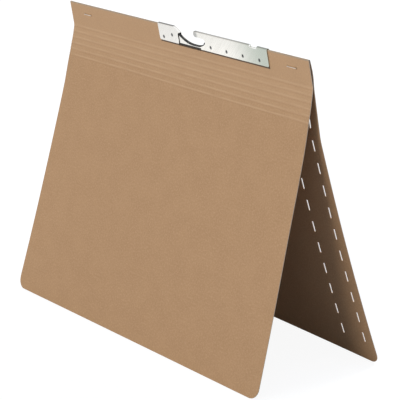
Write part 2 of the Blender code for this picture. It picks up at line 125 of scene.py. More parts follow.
# The front leaf's finger below the spring wire: its saddle edge, its trim, and the slit for the wire's leg
PEAK_X = 1.45 * MM
SADDLE_X = 21 * MM
SADDLE_END_X = 31.3 * MM
SADDLE_DROP = 10.55 * MM
SADDLE_FALL = 5.65 * MM
SADDLE_RISE = 0.65 * MM
SADDLE_POWER = 2.4
FINGER_TRIM = 0.6 * MM
TRIM_FADE = 3 * MM
TRIM_STEP = 1.2 * MM
LEG_SLIT = ((0.8 * MM, -3.6 * MM), (2.4 * MM, -11.4 * MM))
SLOT_MIDDLE = -4.5 * MM

# Closed edges of the plate, crimp marks, staples, roundings of small pieces, and the wire's coat
WEB = 0.25 * MM
WEB_STEPS = 12
CRIMPS = ((-19.2 * MM, 9.65 * MM), (-7.3 * MM, 6.65 * MM), (42.7 * MM, 9.05 * MM), (62.5 * MM, 9.05 * MM),
          (82.3 * MM, 9.05 * MM), (102.1 * MM, 9.05 * MM))
CRIMP_RADII = (1.0 * MM, 1.2 * MM)
CRIMP_TIP = 0.15
CRIMP_CORNERS = 16
STAPLE_MIDDLES = (-131.5 * MM, 138.8 * MM)
STAPLE_REACH = 4.7 * MM
STAPLE_DROP = 8.2 * MM
STAPLE_ROUND = 0.15 * MM
STRIP_ROUND = 0.08 * MM
LACQUER = 0.14 * MM

# Where one board piece ends and the next begins, on flat parts of the sheet, and half of a crease's bend
FRONT_SEAM = SPINE_DROP + 2.5 * CREASE_PITCH
TOP_SEAM = 14.5 * MM
BACK_SEAM = 37 * MM
FOLD_ZONE = 1.6 * MM

# Steps of the board's grid, and the slice of the grain's pattern that its inner face shows
COVER_STEP = 6 * MM
BAND_STEP = 3 * MM
STRIP_STEP = 2.5 * MM
CREASE_STEP = 0.25 * MM
CREASE_STEPS = 6
CORNER_STEPS = 9
FOLD_STEPS = 6
CLOSEST_ROWS = 0.02 * MM
CLOSEST_COLUMNS = 0.2 * MM
PROFILE_STEP = 0.05 * MM
INNER_SLICE = 40.0

# Tints of the board: painted shade along its top fold, and painted shadow under the plate's lower edge and at
# the staple holes; tints of the nickel plate, with painted shade at its nose and crimps and a painted dark
# reflection along its fold
BOARD_FOLD_SHADE = (0.385, 0.31, 0.22, 1)
PAINTED_SHADOW_TINT = (0.07, 0.05, 0.035, 1)
PLATE_BRIGHT = (0.92, 0.895, 0.83, 1)
PLATE_DULL = (0.84, 0.815, 0.755, 1)
PLATE_HIGH_TINT = (0.76, 0.745, 0.70, 1)
PLATE_LEFT_TINT = (0.72, 0.70, 0.665, 1)
PLATE_RIGHT_TINT = (0.44, 0.49, 0.42, 1)
PLATE_NOSE_SHADE = (0.32, 0.32, 0.31, 1)
PLATE_FOLD_REFLECTION = (0.12, 0.12, 0.12, 1)
PLATE_FOLD_LEFT_REFLECTION = (0.1, 0.1, 0.1, 1)
PLATE_CRIMP_SHADE = (0.2, 0.2, 0.195, 1)

# Camera fitted to the photo's corners and edges
CAMERA_PLACE = Vector((1.03231, -0.67418, 0.4606))
CAMERA_AIM = Vector((0.01956, 0, 0.103))
CAMERA_ROLL = radians(-1.69)
CAMERA_LENS = 152.074


def smooth(value, low, high):
    """0 below low, 1 above high, and a smooth rise between them."""
    share = np.clip((value - low) / (high - low), 0, 1)
    return share * share * (3 - 2 * share)


def turn_at(drops, crease):
    """The share of a crease's turn that is done at each depth of the sheet."""
    return smooth(drops, crease - CREASE_SOFT, crease + CREASE_SOFT)


class Profile:
    """One side of the sheet seen along the spine: its outer face as a curve, with its leans."""

    def __init__(self, drops, leans, side):
        start = spine_point(side * SPINE_OUTER, SPINE_OUTER)
        middle = (leans[1:] + leans[:-1]) / 2
        step = np.diff(drops)
        self.drops = drops
        self.leans = leans
        self.y = start[0] + np.concatenate(([0], np.cumsum(np.sin(middle) * step)))
        self.z = start[1] - np.concatenate(([0], np.cumsum(np.cos(middle) * step)))

    def at(self, drop):
        """The outer face's point and lean at one depth."""
        y = np.interp(drop, self.drops, self.y)
        z = np.interp(drop, self.drops, self.z)
        return y, z, np.interp(drop, self.drops, self.leans)


def spine_point(across, drop):
    """A point of the doubled strip, from the top fold, as y and z."""
    y = TOP_FOLD[0] + across * cos(SPINE_LEAN) + drop * sin(SPINE_LEAN)
    z = TOP_FOLD[1] + across * sin(SPINE_LEAN) - drop * cos(SPINE_LEAN)
    return y, z


def bowed(drops, start, turn):
    """The extra lean of a panel that sags, from one side of its mean lean to the other."""
    share = np.clip((drops - start) / (SHEET_DROP - start), 0, 1)
    return turn * (2 * share - 1) * turn_at(drops, start)


def front_profile():
    """The front, which turns at each of its pressed creases."""
    drops = np.arange(SPINE_OUTER, SHEET_DROP + PROFILE_STEP, PROFILE_STEP)
    leans = SPINE_LEAN + (FRONT_BAND_LEAN - SPINE_LEAN) * turn_at(drops, SPINE_DROP)
    turn = (FRONT_COVER_LEAN - FRONT_BAND_LEAN) / CREASE_COUNT
    for k in range(1, CREASE_COUNT - 1):
        leans += turn * turn_at(drops, SPINE_DROP + k * CREASE_PITCH)
    leans += 2 * turn * turn_at(drops, FRONT_BAND_END)
    return Profile(drops, leans - bowed(drops, FRONT_BAND_END, FRONT_BOW), -1)


def back_profile():
    """The back, which turns below the strip and below its stiff band."""
    drops = np.arange(SPINE_OUTER, SHEET_DROP + PROFILE_STEP, PROFILE_STEP)
    leans = SPINE_LEAN + (BACK_BAND_LEAN - SPINE_LEAN) * turn_at(drops, SPINE_DROP)
    leans += (BACK_COVER_LEAN - BACK_BAND_LEAN) * turn_at(drops, BACK_BAND_END)
    return Profile(drops, leans + bowed(drops, BACK_BAND_END, BACK_BOW), 1)


FRONT = front_profile()
BACK = back_profile()
FRONT_FOLD_Z = FRONT.at(FRONT_BAND_END)[1]
BACK_FOLD_Z = BACK.at(BACK_BAND_END)[1]


def bead(drop, creases):
    """How far the pressed creases stand out of the outer face."""
    return sum(BEAD_HEIGHT * np.exp(-((drop - c) / BEAD_WIDTH) ** 2) for c in creases)


FRONT_CREASES = [SPINE_DROP + k * CREASE_PITCH for k in range(CREASE_COUNT)]
BACK_CREASES = [SPINE_DROP, BACK_BAND_END]


def wave(x, t):
    """The board's slight unevenness, none in the stapled strip."""
    place = Vector((x / WAVE_LENGTH[0], t / WAVE_LENGTH[1], WAVE_SLICE))
    return WAVE * noise.noise(place) * float(smooth(abs(t), *WAVE_RISE))


def twisted(fall, lean, turn):
    """How far a panel that is twisted along the spine lies from its mean plane."""
    return max(fall, 0) * (tan(lean + turn) - tan(lean))


def flare(x, drop):
    """How far the back layer of the doubled strip stands off near the sheet's two ends."""
    towards_end = smooth(abs(x), HALF_WIDTH - FLARE_LENGTH, HALF_WIDTH)
    return FLARE * towards_end * sin(pi * min(drop / SPINE_DROP, 1))


def hump(drop, drops):
    """A smooth rise to 1 and back to 0 over three depths of the sheet."""
    first, top, last = drops
    return float(smooth(drop, first, top) * smooth(drop, last, top))


def end_sway(x, drop):
    """How far the front stands back near its right end, and forward near its left end."""
    right = float(smooth(x, HALF_WIDTH - SWAY_LENGTH, HALF_WIDTH))
    left = float(smooth(-x, HALF_WIDTH - SWAY_LENGTH, HALF_WIDTH))
    back = RIGHT_SWAY * right * hump(drop, RIGHT_SWAY_DROPS)
    return back - LEFT_SWAY * left * hump(drop, LEFT_SWAY_DROPS)


def tapered(x, drop):
    """A place along the spine, with the sheet's left end cut in towards the top fold."""
    towards_end = float(smooth(-x, HALF_WIDTH - FLARE_LENGTH, HALF_WIDTH))
    return x + END_TAPER * towards_end * max(1 - drop / TAPER_DROP, 0)


def sheet_point(x, t, depth):
    """The place of a point of the sheet, depth metres in from its outer face."""
    drop = abs(t)
    side = -1 if t < 0 else 1
    along = tapered(x, drop)
    if drop < SPINE_OUTER:
        angle = t / SPINE_OUTER * pi / 2
        radius = SPINE_OUTER - depth
        return Vector((along, *spine_point(radius * sin(angle), SPINE_OUTER - radius * cos(angle))))
    profile = FRONT if side < 0 else BACK
    y, z, lean = profile.at(drop)
    creases = FRONT_CREASES if side < 0 else BACK_CREASES
    out = side * (bead(drop, creases) - depth) + wave(x, t)
    if side > 0 and in_pocket(x, t):
        out += POCKET_DENT
    if side < 0:
        y += twisted(FRONT_FOLD_Z - z, FRONT_COVER_LEAN, FRONT_TWIST * x / COVER_WIDTH)
        y += end_sway(x, drop)
    else:
        y += twisted(BACK_FOLD_Z - z, BACK_COVER_LEAN, BACK_TWIST * x / COVER_WIDTH)
        y += flare(x, drop)
        if depth == 0 and at_slit(x, t):
            out += SLIT_BURR
    return Vector((along, y + out * cos(lean), z + out * sin(lean)))


def lower_edge(x):
    """The depth of the sheet's free edge, with its rounded corners."""
    into_corner = max(abs(x) - (HALF_WIDTH - CORNER_RADIUS), 0)
    return SHEET_DROP - CORNER_RADIUS + sqrt(max(CORNER_RADIUS ** 2 - into_corner ** 2, 0))


def to_outline(x, t):
    """A grid depth moved so that the last rows follow the rounded lower corners."""
    start = SHEET_DROP - 1.5 * CORNER_RADIUS
    drop = abs(t)
    if drop <= start:
        return t
    share = (drop - start) / (SHEET_DROP - start)
    return (start + share * (lower_edge(x) - start)) * (1 if t > 0 else -1)


def spread(start, end, spacing):
    """Even steps from start to end, about as long as the spacing."""
    count = max(1, round(abs(end - start) / spacing))
    return [start + (end - start) * k / count for k in range(count + 1)]


def merged(values, closest=CLOSEST_ROWS):
    """Sorted values with near doubles left out."""
    kept = []
    for value in sorted(values):
        if not kept or value - kept[-1] > closest:
            kept.append(value)
    return kept


def grid_columns():
    """The places along the spine of the grid's lines, close together at the rounded corners."""
    corner_start = HALF_WIDTH - CORNER_RADIUS
    turns = [pi / 2 * k / CORNER_STEPS for k in range(CORNER_STEPS + 1)]
    corner = [corner_start + CORNER_RADIUS * sin(turn) for turn in turns]
    columns = spread(-corner_start, corner_start, COVER_STEP)
    columns += corner + [-x for x in corner]
    columns += [RELIEF_LEFT, RELIEF_RIGHT, POCKET_LEFT, POCKET_RIGHT, NOTCH_LEFT, NOTCH_RIGHT]
    for inset in SLIT_ROW_INSETS:
        for beside in (SLIT_WIDTH / 2, SLIT_WIDTH / 2 + SLIT_LIP):
            columns += [HALF_WIDTH - inset - beside, HALF_WIDTH - inset + beside]
    return merged(columns, CLOSEST_COLUMNS)


def near_crease(crease):
    """Close rows on both sides of a crease."""
    return [crease + k * CREASE_STEP for k in range(-CREASE_STEPS, CREASE_STEPS + 1)]


def slit_rows():
    """The first and last depth of each slit in a row."""
    middles = [SLIT_FIRST_DROP + SLIT_PITCH * k for k in range(SLIT_COUNT)]
    return [(m - SLIT_LENGTH / 2, m + SLIT_LENGTH / 2) for m in middles]


def in_slit(x, t):
    """Whether a point of the back lies in a tab slit."""
    in_row = any(abs(HALF_WIDTH - inset - x) < SLIT_WIDTH / 2 for inset in SLIT_ROW_INSETS)
    return in_row and any(low < t < high for low, high in slit_rows())


def at_slit(x, t):
    """Whether a point lies on the edge of a slit."""
    near = 0.01 * MM
    in_row = any(abs(HALF_WIDTH - inset - x) < SLIT_WIDTH / 2 + near for inset in SLIT_ROW_INSETS)
    return in_row and any(low - near < t < high + near for low, high in slit_rows())


def in_pocket(x, t):
    """Whether a point lies over the room for the spring's run below the finger."""
    return POCKET_LEFT < x < POCKET_RIGHT and abs(t) < POCKET_DROP


def in_clear_room(x, t):
    """Whether the board is cut away, right through, or in the front layer alone for the spring's run."""
    behind_hook = RELIEF_LEFT < x < RELIEF_RIGHT and abs(t) < RELIEF_DROP
    behind_notch = NOTCH_LEFT < x < NOTCH_RIGHT and abs(t) < NOTCH_DROP
    return behind_hook or behind_notch or (t < 0 and in_pocket(x, t))


def board_piece(name, rows, missing, cut_out=1):
    """A closed mesh of board on a grid of the sheet, with other materials on its edge and its cut-outs."""
    columns = grid_columns()
    present = {}
    for i in range(len(columns) - 1):
        for j in range(len(rows) - 1):
            middle = ((columns[i] + columns[i + 1]) / 2, (rows[j] + rows[j + 1]) / 2)
            present[i, j] = not missing(*middle)
    shape = bmesh.new()
    sheet = shape.verts.layers.float_vector.new("sheet")
    made = {}

    def corner(i, j, layer):
        if (i, j, layer) not in made:
            x = columns[i]
            t = to_outline(x, rows[j])
            vertex = shape.verts.new(sheet_point(x, t, layer * BOARD))
            vertex[sheet] = (x / MM, t / MM, INNER_SLICE * layer)
            made[i, j, layer] = vertex
        return made[i, j, layer]

    def wall(a, b, material_index):
        face = shape.faces.new((corner(*a, 0), corner(*b, 0), corner(*b, 1), corner(*a, 1)))
        face.material_index = material_index

    for (i, j), there in present.items():
        if not there:
            continue
        ring = ((i, j), (i + 1, j), (i + 1, j + 1), (i, j + 1))
        for layer in (0, 1):
            shape.faces.new([corner(*place, layer) for place in ring])
        beside = ((i, j - 1), (i + 1, j), (i, j + 1), (i - 1, j))
        for k, neighbour in enumerate(beside):
            if not present.get(neighbour, False):
                wall(ring[k], ring[(k + 1) % 4], cut_out if neighbour in present else 1)
    return add_piece(name, finished_mesh(name, shape), KRAFT, KRAFT_EDGE_PALE_AND_LIT, KRAFT_SLIT_LIT)


def add_piece(name, mesh, *materials):
    """A new object in the scene, with its materials in order."""
    piece = bpy.data.objects.new(name, mesh)
    bpy.context.scene.collection.objects.link(piece)
    for material in materials:
        mesh.materials.append(material)
    return piece


def fold_zone(crease, side):
    """The two points between which a crease turns from one panel to the next."""
    ends = []
    for drop in (crease - FOLD_ZONE, crease + FOLD_ZONE):
        ends.append(sheet_point(0, side * drop, BOARD / 2))
    return ends


class Nodes:
    """A small helper to write a shader as a list of nodes and links."""

    def __init__(self, tree):
        self.tree = tree

    def add(self, kind, inputs=None, **settings):
        node = self.tree.nodes.new(kind)
        for key, value in settings.items():
            setattr(node, key, value)
        for key, value in (inputs or {}).items():
            self.put(node.inputs[key], value)
        return node

    def put(self, socket, value):
        """Links a node's output to a socket, or sets the socket to a plain value."""
        if isinstance(value, bpy.types.NodeSocket):
            self.tree.links.new(value, socket)
        else:
            socket.default_value = value

    def math(self, operation, a, b=0.0):
        return self.add("ShaderNodeMath", {0: a, 1: b}, operation=operation).outputs[0]

    def mix(self, share, a, b):
        node = self.add("ShaderNodeMix", data_type="RGBA")
        for key, value in ((0, share), (6, a), (7, b)):
            self.put(node.inputs[key], value)
        return node.outputs[2]

    def tinted(self, colour, tint, mask, share):
        """The colour with a share of the tint where the mask is 1."""
        return self.mix(self.math("MULTIPLY", mask, share), colour, tint)

    def noise(self, vector, scale, detail=2.0, roughness=0.5):
        inputs = {"Vector": vector, "Scale": scale, "Detail": detail, "Roughness": roughness}
        return self.add("ShaderNodeTexNoise", inputs).outputs["Fac"]

    def ramp(self, value, low, high):
        inputs = {"Value": value, "From Min": low, "From Max": high}
        return self.add("ShaderNodeMapRange", inputs, interpolation_type="SMOOTHSTEP").outputs["Result"]

    def rescaled(self, value, low, high):
        inputs = {"Value": value, "To Min": low, "To Max": high}
        return self.add("ShaderNodeMapRange", inputs).outputs["Result"]

    def distance(self, x, y):
        vector = self.add("ShaderNodeCombineXYZ", {"X": x, "Y": y}).outputs[0]
        return self.add("ShaderNodeVectorMath", {0: vector}, operation="LENGTH").outputs["Value"]

    def stretched(self, vector, scale):
        return self.add("ShaderNodeMapping", {"Vector": vector, "Scale": scale}).outputs["Vector"]


def new_material(name):
    """A material with its nodes and its main shader."""
    material = bpy.data.materials.new(name)
    material.use_nodes = True
    return material, Nodes(material.node_tree), material.node_tree.nodes["Principled BSDF"]


def set_inputs(nodes, shader, **values):
    """Sets or links a shader's sockets, named with underscores in place of spaces."""
    for key, value in values.items():
        nodes.put(shader.inputs[key.replace("_", " ")], value)


def between(nodes, value, low, high, soft):
    """1 where a value lies between two limits, with soft ends."""
    above = nodes.ramp(value, low - soft, low + soft)
    return nodes.math("MULTIPLY", above, nodes.ramp(value, high + soft, high - soft))


def plate_edge_shadow(nodes, place):
    """A painted shadow on the board under the hook plate's lower edge, wider along the spring's pocket."""
    parts = nodes.add("ShaderNodeSeparateXYZ", {0: place}).outputs
    drop = nodes.math("ABSOLUTE", parts["Y"])
    edge = PLATE_DROP / MM
    line = nodes.math("MULTIPLY", between(nodes, parts["X"], PLATE_ENDS[0] / MM, PLATE_ENDS[1] / MM, 0.4),
                      between(nodes, drop, edge - 0.5, edge + 1.5, 0.3))
    pocket = nodes.math("MULTIPLY", between(nodes, parts["X"], POCKET_LEFT / MM, POCKET_RIGHT / MM, 0.4),
                        between(nodes, drop, edge - 2.0, edge + 1.6, 0.25))
    return nodes.math("MULTIPLY", nodes.math("MAXIMUM", line, pocket), 0.9)


def staple_hole_shadows(nodes, place):
    """Small painted shadows where the staples' legs go through the sheet."""
    parts = nodes.add("ShaderNodeSeparateXYZ", {0: place}).outputs
    drop = nodes.math("SUBTRACT", nodes.math("ABSOLUTE", parts["Y"]), STAPLE_DROP / MM)
    marks = 0.0
    for middle in STAPLE_MIDDLES:
        for leg in (middle - STAPLE_REACH, middle + STAPLE_REACH):
            away = nodes.distance(nodes.math("SUBTRACT", parts["X"], leg / MM), drop)
            marks = nodes.math("MAXIMUM", nodes.ramp(away, 1.3, 0.7), marks)
    return nodes.math("MULTIPLY", marks, 0.3)


def crease_light_and_shade(nodes, place, offset, width):
    """A soft line of painted light on or beside each pressed crease of the front, uneven along its length."""
    down = nodes.add("ShaderNodeSeparateXYZ", {0: place}).outputs["Y"]
    from_first = nodes.math("SUBTRACT", nodes.math("MULTIPLY", down, -1.0), SPINE_DROP / MM + offset)
    pitch = CREASE_PITCH / MM
    away = nodes.math("PINGPONG", from_first, pitch / 2)
    inside = between(nodes, from_first, -width, (CREASE_COUNT - 1) * pitch + width, 0.1)
    line = nodes.math("MULTIPLY", nodes.ramp(away, width, 0.1), inside)
    uneven = nodes.noise(nodes.stretched(place, (0.05, 0.6, 1)), 1.0, 3)
    return nodes.math("MULTIPLY", line, nodes.ramp(uneven, 0.2, 0.6))


def kraft_material(name, base, pale, dark, place_name="sheet"):
    """Uncoated board: cloudy pulp, fine fibres in two directions, and on the sheet painted light and shade: a
    paler strip, a darker top fold, paler creases with darker bands below them, and shadows under the plate
    and at the staples.
    """
    material, nodes, shader = new_material(name)
    if place_name == "sheet":
        place = nodes.add("ShaderNodeAttribute", attribute_name="sheet").outputs["Vector"]
    else:
        place = nodes.add("ShaderNodeTexCoord").outputs[place_name]
        place = nodes.stretched(place, (1 / MM, 1 / MM, 1 / MM))
    clouds = nodes.noise(place, 0.06, 3)
    grain = nodes.noise(place, 0.7, 4, 0.65)
    colour = nodes.tinted(base, dark, nodes.ramp(clouds, 0.35, 0.65), 0.25)
    colour = nodes.tinted(colour, pale, nodes.ramp(grain, 0.42, 0.7), 0.6)
    for scale, share, tint in (((0.35, 2.2, 1), 0.5, pale), ((1.9, 0.3, 1), 0.5, dark)):
        fibres = nodes.noise(nodes.stretched(place, scale), 1.0, 2)
        colour = nodes.tinted(colour, tint, nodes.ramp(fibres, 0.58, 0.7), share)
    if place_name == "sheet":
        down = nodes.add("ShaderNodeSeparateXYZ", {0: place}).outputs["Y"]
        # Painted light: the doubled strip and the top of the creased band are made paler, as if they faced
        # the light more
        band = nodes.ramp(down, -FRONT_BAND_END / MM - 9, -SPINE_DROP / MM - 5)
        painted_light_band = nodes.math("MULTIPLY", band, nodes.ramp(down, SPINE_DROP / MM + 2, SPINE_DROP / MM - 2))
        colour = nodes.tinted(colour, pale, painted_light_band, 0.45)
        # Painted shade: a darker line along the top fold, where the board turns away from the light
        colour = nodes.tinted(colour, BOARD_FOLD_SHADE, between(nodes, down, -0.9, 0.9, 0.3), 0.6)
        # Painted highlight along each crease, and painted shade in a band just below it
        colour = nodes.tinted(colour, pale, crease_light_and_shade(nodes, place, 0.0, 1.1), 0.85)
        colour = nodes.tinted(colour, dark, crease_light_and_shade(nodes, place, 1.5, 0.9), 0.25)
        # Painted shadow: near-black brown under the plate's lower edge and at the staple holes
        painted_shadows = nodes.math("MAXIMUM", plate_edge_shadow(nodes, place), staple_hole_shadows(nodes, place))
        colour = nodes.mix(painted_shadows, colour, PAINTED_SHADOW_TINT)
    fine = nodes.noise(place, 2.6, 3, 0.6)
    height = nodes.math("ADD", nodes.math("MULTIPLY", grain, 0.7), nodes.math("MULTIPLY", fine, 0.3))
    bump = nodes.add("ShaderNodeBump", {"Height": height, "Strength": 0.12, "Distance": 0.0006})
    rough = nodes.rescaled(grain, 0.82, 0.96)
    set_inputs(nodes, shader, Base_Color=colour, Roughness=rough, Normal=bump.outputs["Normal"])
    set_inputs(nodes, shader, Specular_IOR_Level=0.25)
    return material


def steel_material(name, bright, dull, roughness, metallic=1.0):
    """Plated sheet or wire: faint rolling streaks, a little dullness, and a soft sheen."""
    material, nodes, shader = new_material(name)
    place = nodes.add("ShaderNodeTexCoord").outputs["Object"]
    streaks = nodes.noise(nodes.stretched(place, (45, 900, 900)), 1.0, 3)
    clouds = nodes.noise(place, 55, 3)
    colour = nodes.mix(nodes.ramp(clouds, 0.35, 0.7), bright, dull)
    colour = nodes.tinted(colour, dull, nodes.ramp(streaks, 0.4, 0.65), 0.6)
    rough = nodes.rescaled(streaks, *roughness)
    bump = nodes.add("ShaderNodeBump", {"Height": streaks, "Strength": 0.06, "Distance": 0.0002})
    set_inputs(nodes, shader, Base_Color=colour, Roughness=rough, Metallic=metallic)
    set_inputs(nodes, shader, Normal=bump.outputs["Normal"])
    return material


def spine_coordinates(nodes):
    """How far along the spine and how far above its top fold a point lies, in millimetres."""
    place = nodes.add("ShaderNodeTexCoord").outputs["Object"]
    parts = nodes.add("ShaderNodeSeparateXYZ", {0: place}).outputs
    along = nodes.math("DIVIDE", parts["X"], MM)
    back = nodes.math("MULTIPLY", nodes.math("SUBTRACT", parts["Y"], TOP_FOLD[0]), -sin(SPINE_LEAN) / MM)
    rise = nodes.math("MULTIPLY", nodes.math("SUBTRACT", parts["Z"], TOP_FOLD[1]), cos(SPINE_LEAN) / MM)
    return along, nodes.math("ADD", back, rise)


def plate_material():
    """Bright nickel: slanting streaks, greyer towards its top and left end, darker and greener towards its
    right end, painted shade at its nose and crimps, and a painted dark reflection along the fold.
    """
    material, nodes, shader = new_material("nickel_steel_plate")
    along, up = spine_coordinates(nodes)
    across_streak = nodes.math("MULTIPLY", nodes.math("SUBTRACT", along, up), 0.5)
    down_streak = nodes.math("MULTIPLY", nodes.math("ADD", along, up), 0.03)
    place = nodes.add("ShaderNodeCombineXYZ", {"X": across_streak, "Y": down_streak}).outputs[0]
    streaks = nodes.noise(place, 1.0, 3)
    colour = nodes.mix(nodes.ramp(streaks, 0.35, 0.7), PLATE_BRIGHT, PLATE_DULL)
    colour = nodes.tinted(colour, PLATE_HIGH_TINT, nodes.ramp(up, -11.0, -1.0), 0.4)
    colour = nodes.tinted(colour, PLATE_LEFT_TINT, nodes.ramp(along, 14.0, -12.0), 0.5)
    colour = nodes.tinted(colour, PLATE_RIGHT_TINT, nodes.ramp(along, 62.0, 109.0), 0.85)
    # Painted shade on the rounded nose tip
    off_nose = nodes.distance(nodes.math("SUBTRACT", along, NOSE_MIDDLE[0] / MM),
                              nodes.math("SUBTRACT", up, NOSE_MIDDLE[1] / MM))
    colour = nodes.tinted(colour, PLATE_NOSE_SHADE, nodes.ramp(off_nose, 4.0, 1.0), 0.75)
    # Painted dark reflection along the plate's rounded fold, darker towards the left
    fold = nodes.ramp(up, 0.1, 0.4)
    colour = nodes.tinted(colour, PLATE_FOLD_REFLECTION, fold, 0.6)
    left_fold_reflection = nodes.math("MULTIPLY", fold, nodes.ramp(along, 40.0, 0.0))
    colour = nodes.tinted(colour, PLATE_FOLD_LEFT_REFLECTION, left_fold_reflection, 0.6)
    # Painted shade around each pierced crimp hole
    for x, drop in CRIMPS:
        off_crimp = nodes.distance(nodes.math("SUBTRACT", along, x / MM), nodes.math("ADD", up, drop / MM))
        colour = nodes.tinted(colour, PLATE_CRIMP_SHADE, nodes.ramp(off_crimp, 1.75, 1.15), 0.6)
    rough = nodes.rescaled(streaks, 0.18, 0.3)
    bump = nodes.add("ShaderNodeBump", {"Height": streaks, "Strength": 0.05, "Distance": 0.0003})
    set_inputs(nodes, shader, Base_Color=colour, Roughness=rough, Metallic=1.0)
    set_inputs(nodes, shader, Normal=bump.outputs["Normal"])
    return material


def ray_is_direct(nodes):
    """1 for what the camera, a reflection or a clear surface sees, and 0 for light bouncing about."""
    path = nodes.add("ShaderNodeLightPath")
    either = nodes.math("MAXIMUM", path.outputs["Is Camera Ray"], path.outputs["Is Glossy Ray"])
    return nodes.math("MAXIMUM", either, path.outputs["Is Transmission Ray"])


def make_world():
    """A white room to the eye, which sheds a weaker and cooler light."""
    world = bpy.data.worlds.new("studio")
    bpy.context.scene.world = world
    world.use_nodes = True
    nodes = Nodes(world.node_tree)
    world.node_tree.nodes.clear()
    soft = nodes.add("ShaderNodeBackground", {"Color": (0.8, 1.0, 1.35, 1), "Strength": 0.36})
    white = nodes.add("ShaderNodeBackground", {"Color": (1, 1, 1, 1), "Strength": 1.0})
    choice = {0: ray_is_direct(nodes), 1: soft.outputs[0], 2: white.outputs[0]}
    mixed = nodes.add("ShaderNodeMixShader", choice)
    nodes.add("ShaderNodeOutputWorld", {0: mixed.outputs[0]})


def make_floor():
    """A pale round floor, white to the eye, which keeps a faint shadow."""
    shape = bmesh.new()
    bmesh.ops.create_circle(shape, cap_ends=True, segments=64, radius=6)
    mesh = bpy.data.meshes.new("studio_floor")
    shape.to_mesh(mesh)
    shape.free()
    material = bpy.data.materials.new("studio_floor")
    material.use_nodes = True
    nodes = Nodes(material.node_tree)
    material.node_tree.nodes.clear()
    grey = nodes.add("ShaderNodeBsdfDiffuse", {"Color": (0.54, 0.58, 0.66, 1)})
    shadowed = nodes.add("ShaderNodeBsdfDiffuse", {"Color": (0.16, 0.16, 0.16, 1)})
    glow = nodes.add("ShaderNodeEmission", {"Color": (1, 1, 1, 1), "Strength": 0.92})
    seen = nodes.add("ShaderNodeAddShader", {0: shadowed.outputs[0], 1: glow.outputs[0]})
    choice = {0: ray_is_direct(nodes), 1: grey.outputs[0], 2: seen.outputs[0]}
    mixed = nodes.add("ShaderNodeMixShader", choice)
    nodes.add("ShaderNodeOutputMaterial", {0: mixed.outputs[0]})
    floor = bpy.data.objects.new("studio_floor", mesh)
    mesh.materials.append(material)
    bpy.context.scene.collection.objects.link(floor)


def make_lamp(name, place, aim, size, energy):
    """A round soft lamp, not mirrored in the metal, which shows the white room alone."""
    lamp = bpy.data.lights.new(name, "AREA")
    lamp.shape = "DISK"
    lamp.size = size
    lamp.energy = energy
    holder = bpy.data.objects.new(name, lamp)
    holder.location = place
    holder.visible_glossy = False
    holder.rotation_euler = (Vector(aim) - Vector(place)).to_track_quat("-Z", "Y").to_euler()
    bpy.context.scene.collection.objects.link(holder)


def make_camera():
    """The camera at the photo's viewing angle."""
    lens = bpy.data.cameras.new("camera")
    lens.lens = CAMERA_LENS
    lens.sensor_width = 36
    lens.clip_end = 50
    camera = bpy.data.objects.new("camera", lens)
    level = (CAMERA_AIM - CAMERA_PLACE).to_track_quat("-Z", "Y")
    camera.location = CAMERA_PLACE
    camera.rotation_euler = (level @ Quaternion((0, 0, 1), CAMERA_ROLL)).to_euler()
    bpy.context.scene.collection.objects.link(camera)
    bpy.context.scene.camera = camera


def cad_shape(node):
    """A CAD solid in the row frame, with its flat faces made whole again."""
    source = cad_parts[node]
    shape = bmesh.new()
    shape.from_mesh(source.data)
    shape.transform(source.matrix_world)
    bmesh.ops.remove_doubles(shape, verts=shape.verts, dist=1e-7)
    bmesh.ops.dissolve_limit(shape, angle_limit=radians(1), verts=shape.verts, edges=shape.edges)
    return shape


def stand_in(node, body, shape, material):
    """A piece that is shown in place of a CAD node and rides on its body."""
    piece = add_piece(node + "_shown", finished_mesh(node + "_shown", shape), material)
    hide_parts(node)
    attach(piece, body)


def softened(node, width):
    """A CAD solid with its sharp edges rounded."""
    shape = cad_shape(node)
    sharp = [e for e in shape.edges if e.is_manifold and e.calc_face_angle() > radians(35)]
    bmesh.ops.bevel(shape, geom=sharp, offset=width, segments=2, profile=0.5, affect="EDGES",
                    clamp_overlap=True)
    return shape


def lacquered(node, thickness):
    """A CAD solid grown by a coat of lacquer."""
    shape = cad_shape(node)
    shape.normal_update()
    coats = [vertex.normal * thickness for vertex in shape.verts]
    for vertex, coat in zip(shape.verts, coats):
        vertex.co += coat
    return shape


def plate_shape():
    """The hook plate, with the real one's notch, finger and nose, and leaves that shade as flat."""
    shape = cad_shape("hanger_plate")
    everything = list(shape.verts) + list(shape.edges) + list(shape.faces)
    up = (0, -sin(SPINE_LEAN), cos(SPINE_LEAN))
    below_fold = spine_place(0, 0, PLATE_FLAT)
    bmesh.ops.bisect_plane(shape, geom=everything, plane_co=below_fold, plane_no=up)
    beyond = 3 * PLATE_OUTER
    shape = reshaped(shape, PLATE_NOTCH, -beyond, beyond, "DIFFERENCE")
    shape = reshaped(shape, finger_room(), -beyond, 0, "DIFFERENCE")
    for side in (-1, 1):
        leaf = (side * (PLATE_INNER - NOSE_PROUD), side * (PLATE_OUTER + NOSE_PROUD))
        shape = reshaped(shape, nose_lip(), *leaf, "UNION")
    bmesh.ops.dissolve_degenerate(shape, dist=0.001 * MM, edges=shape.edges)
    return shape


def nose_lip():
    """An outline that makes the nose of one leaf as deep as the real one, with a rounded tip."""
    radius = (PLATE_TOP + NOSE_DROP) / 2
    middle = (NOSE_TIP_X + radius, PLATE_TOP - radius)
    round_tip = []
    for k in range(NOSE_STEPS + 1):
        angle = pi + pi / 2 * k / NOSE_STEPS
        round_tip.append((middle[0] + radius * cos(angle), middle[1] + radius * sin(angle)))
    end = [(NOSE_LIP_END, -NOSE_DROP), (NOSE_LIP_END, NOSE_LIP_ROOT)]
    return round_tip + end + [(middle[0], NOSE_LIP_ROOT)]


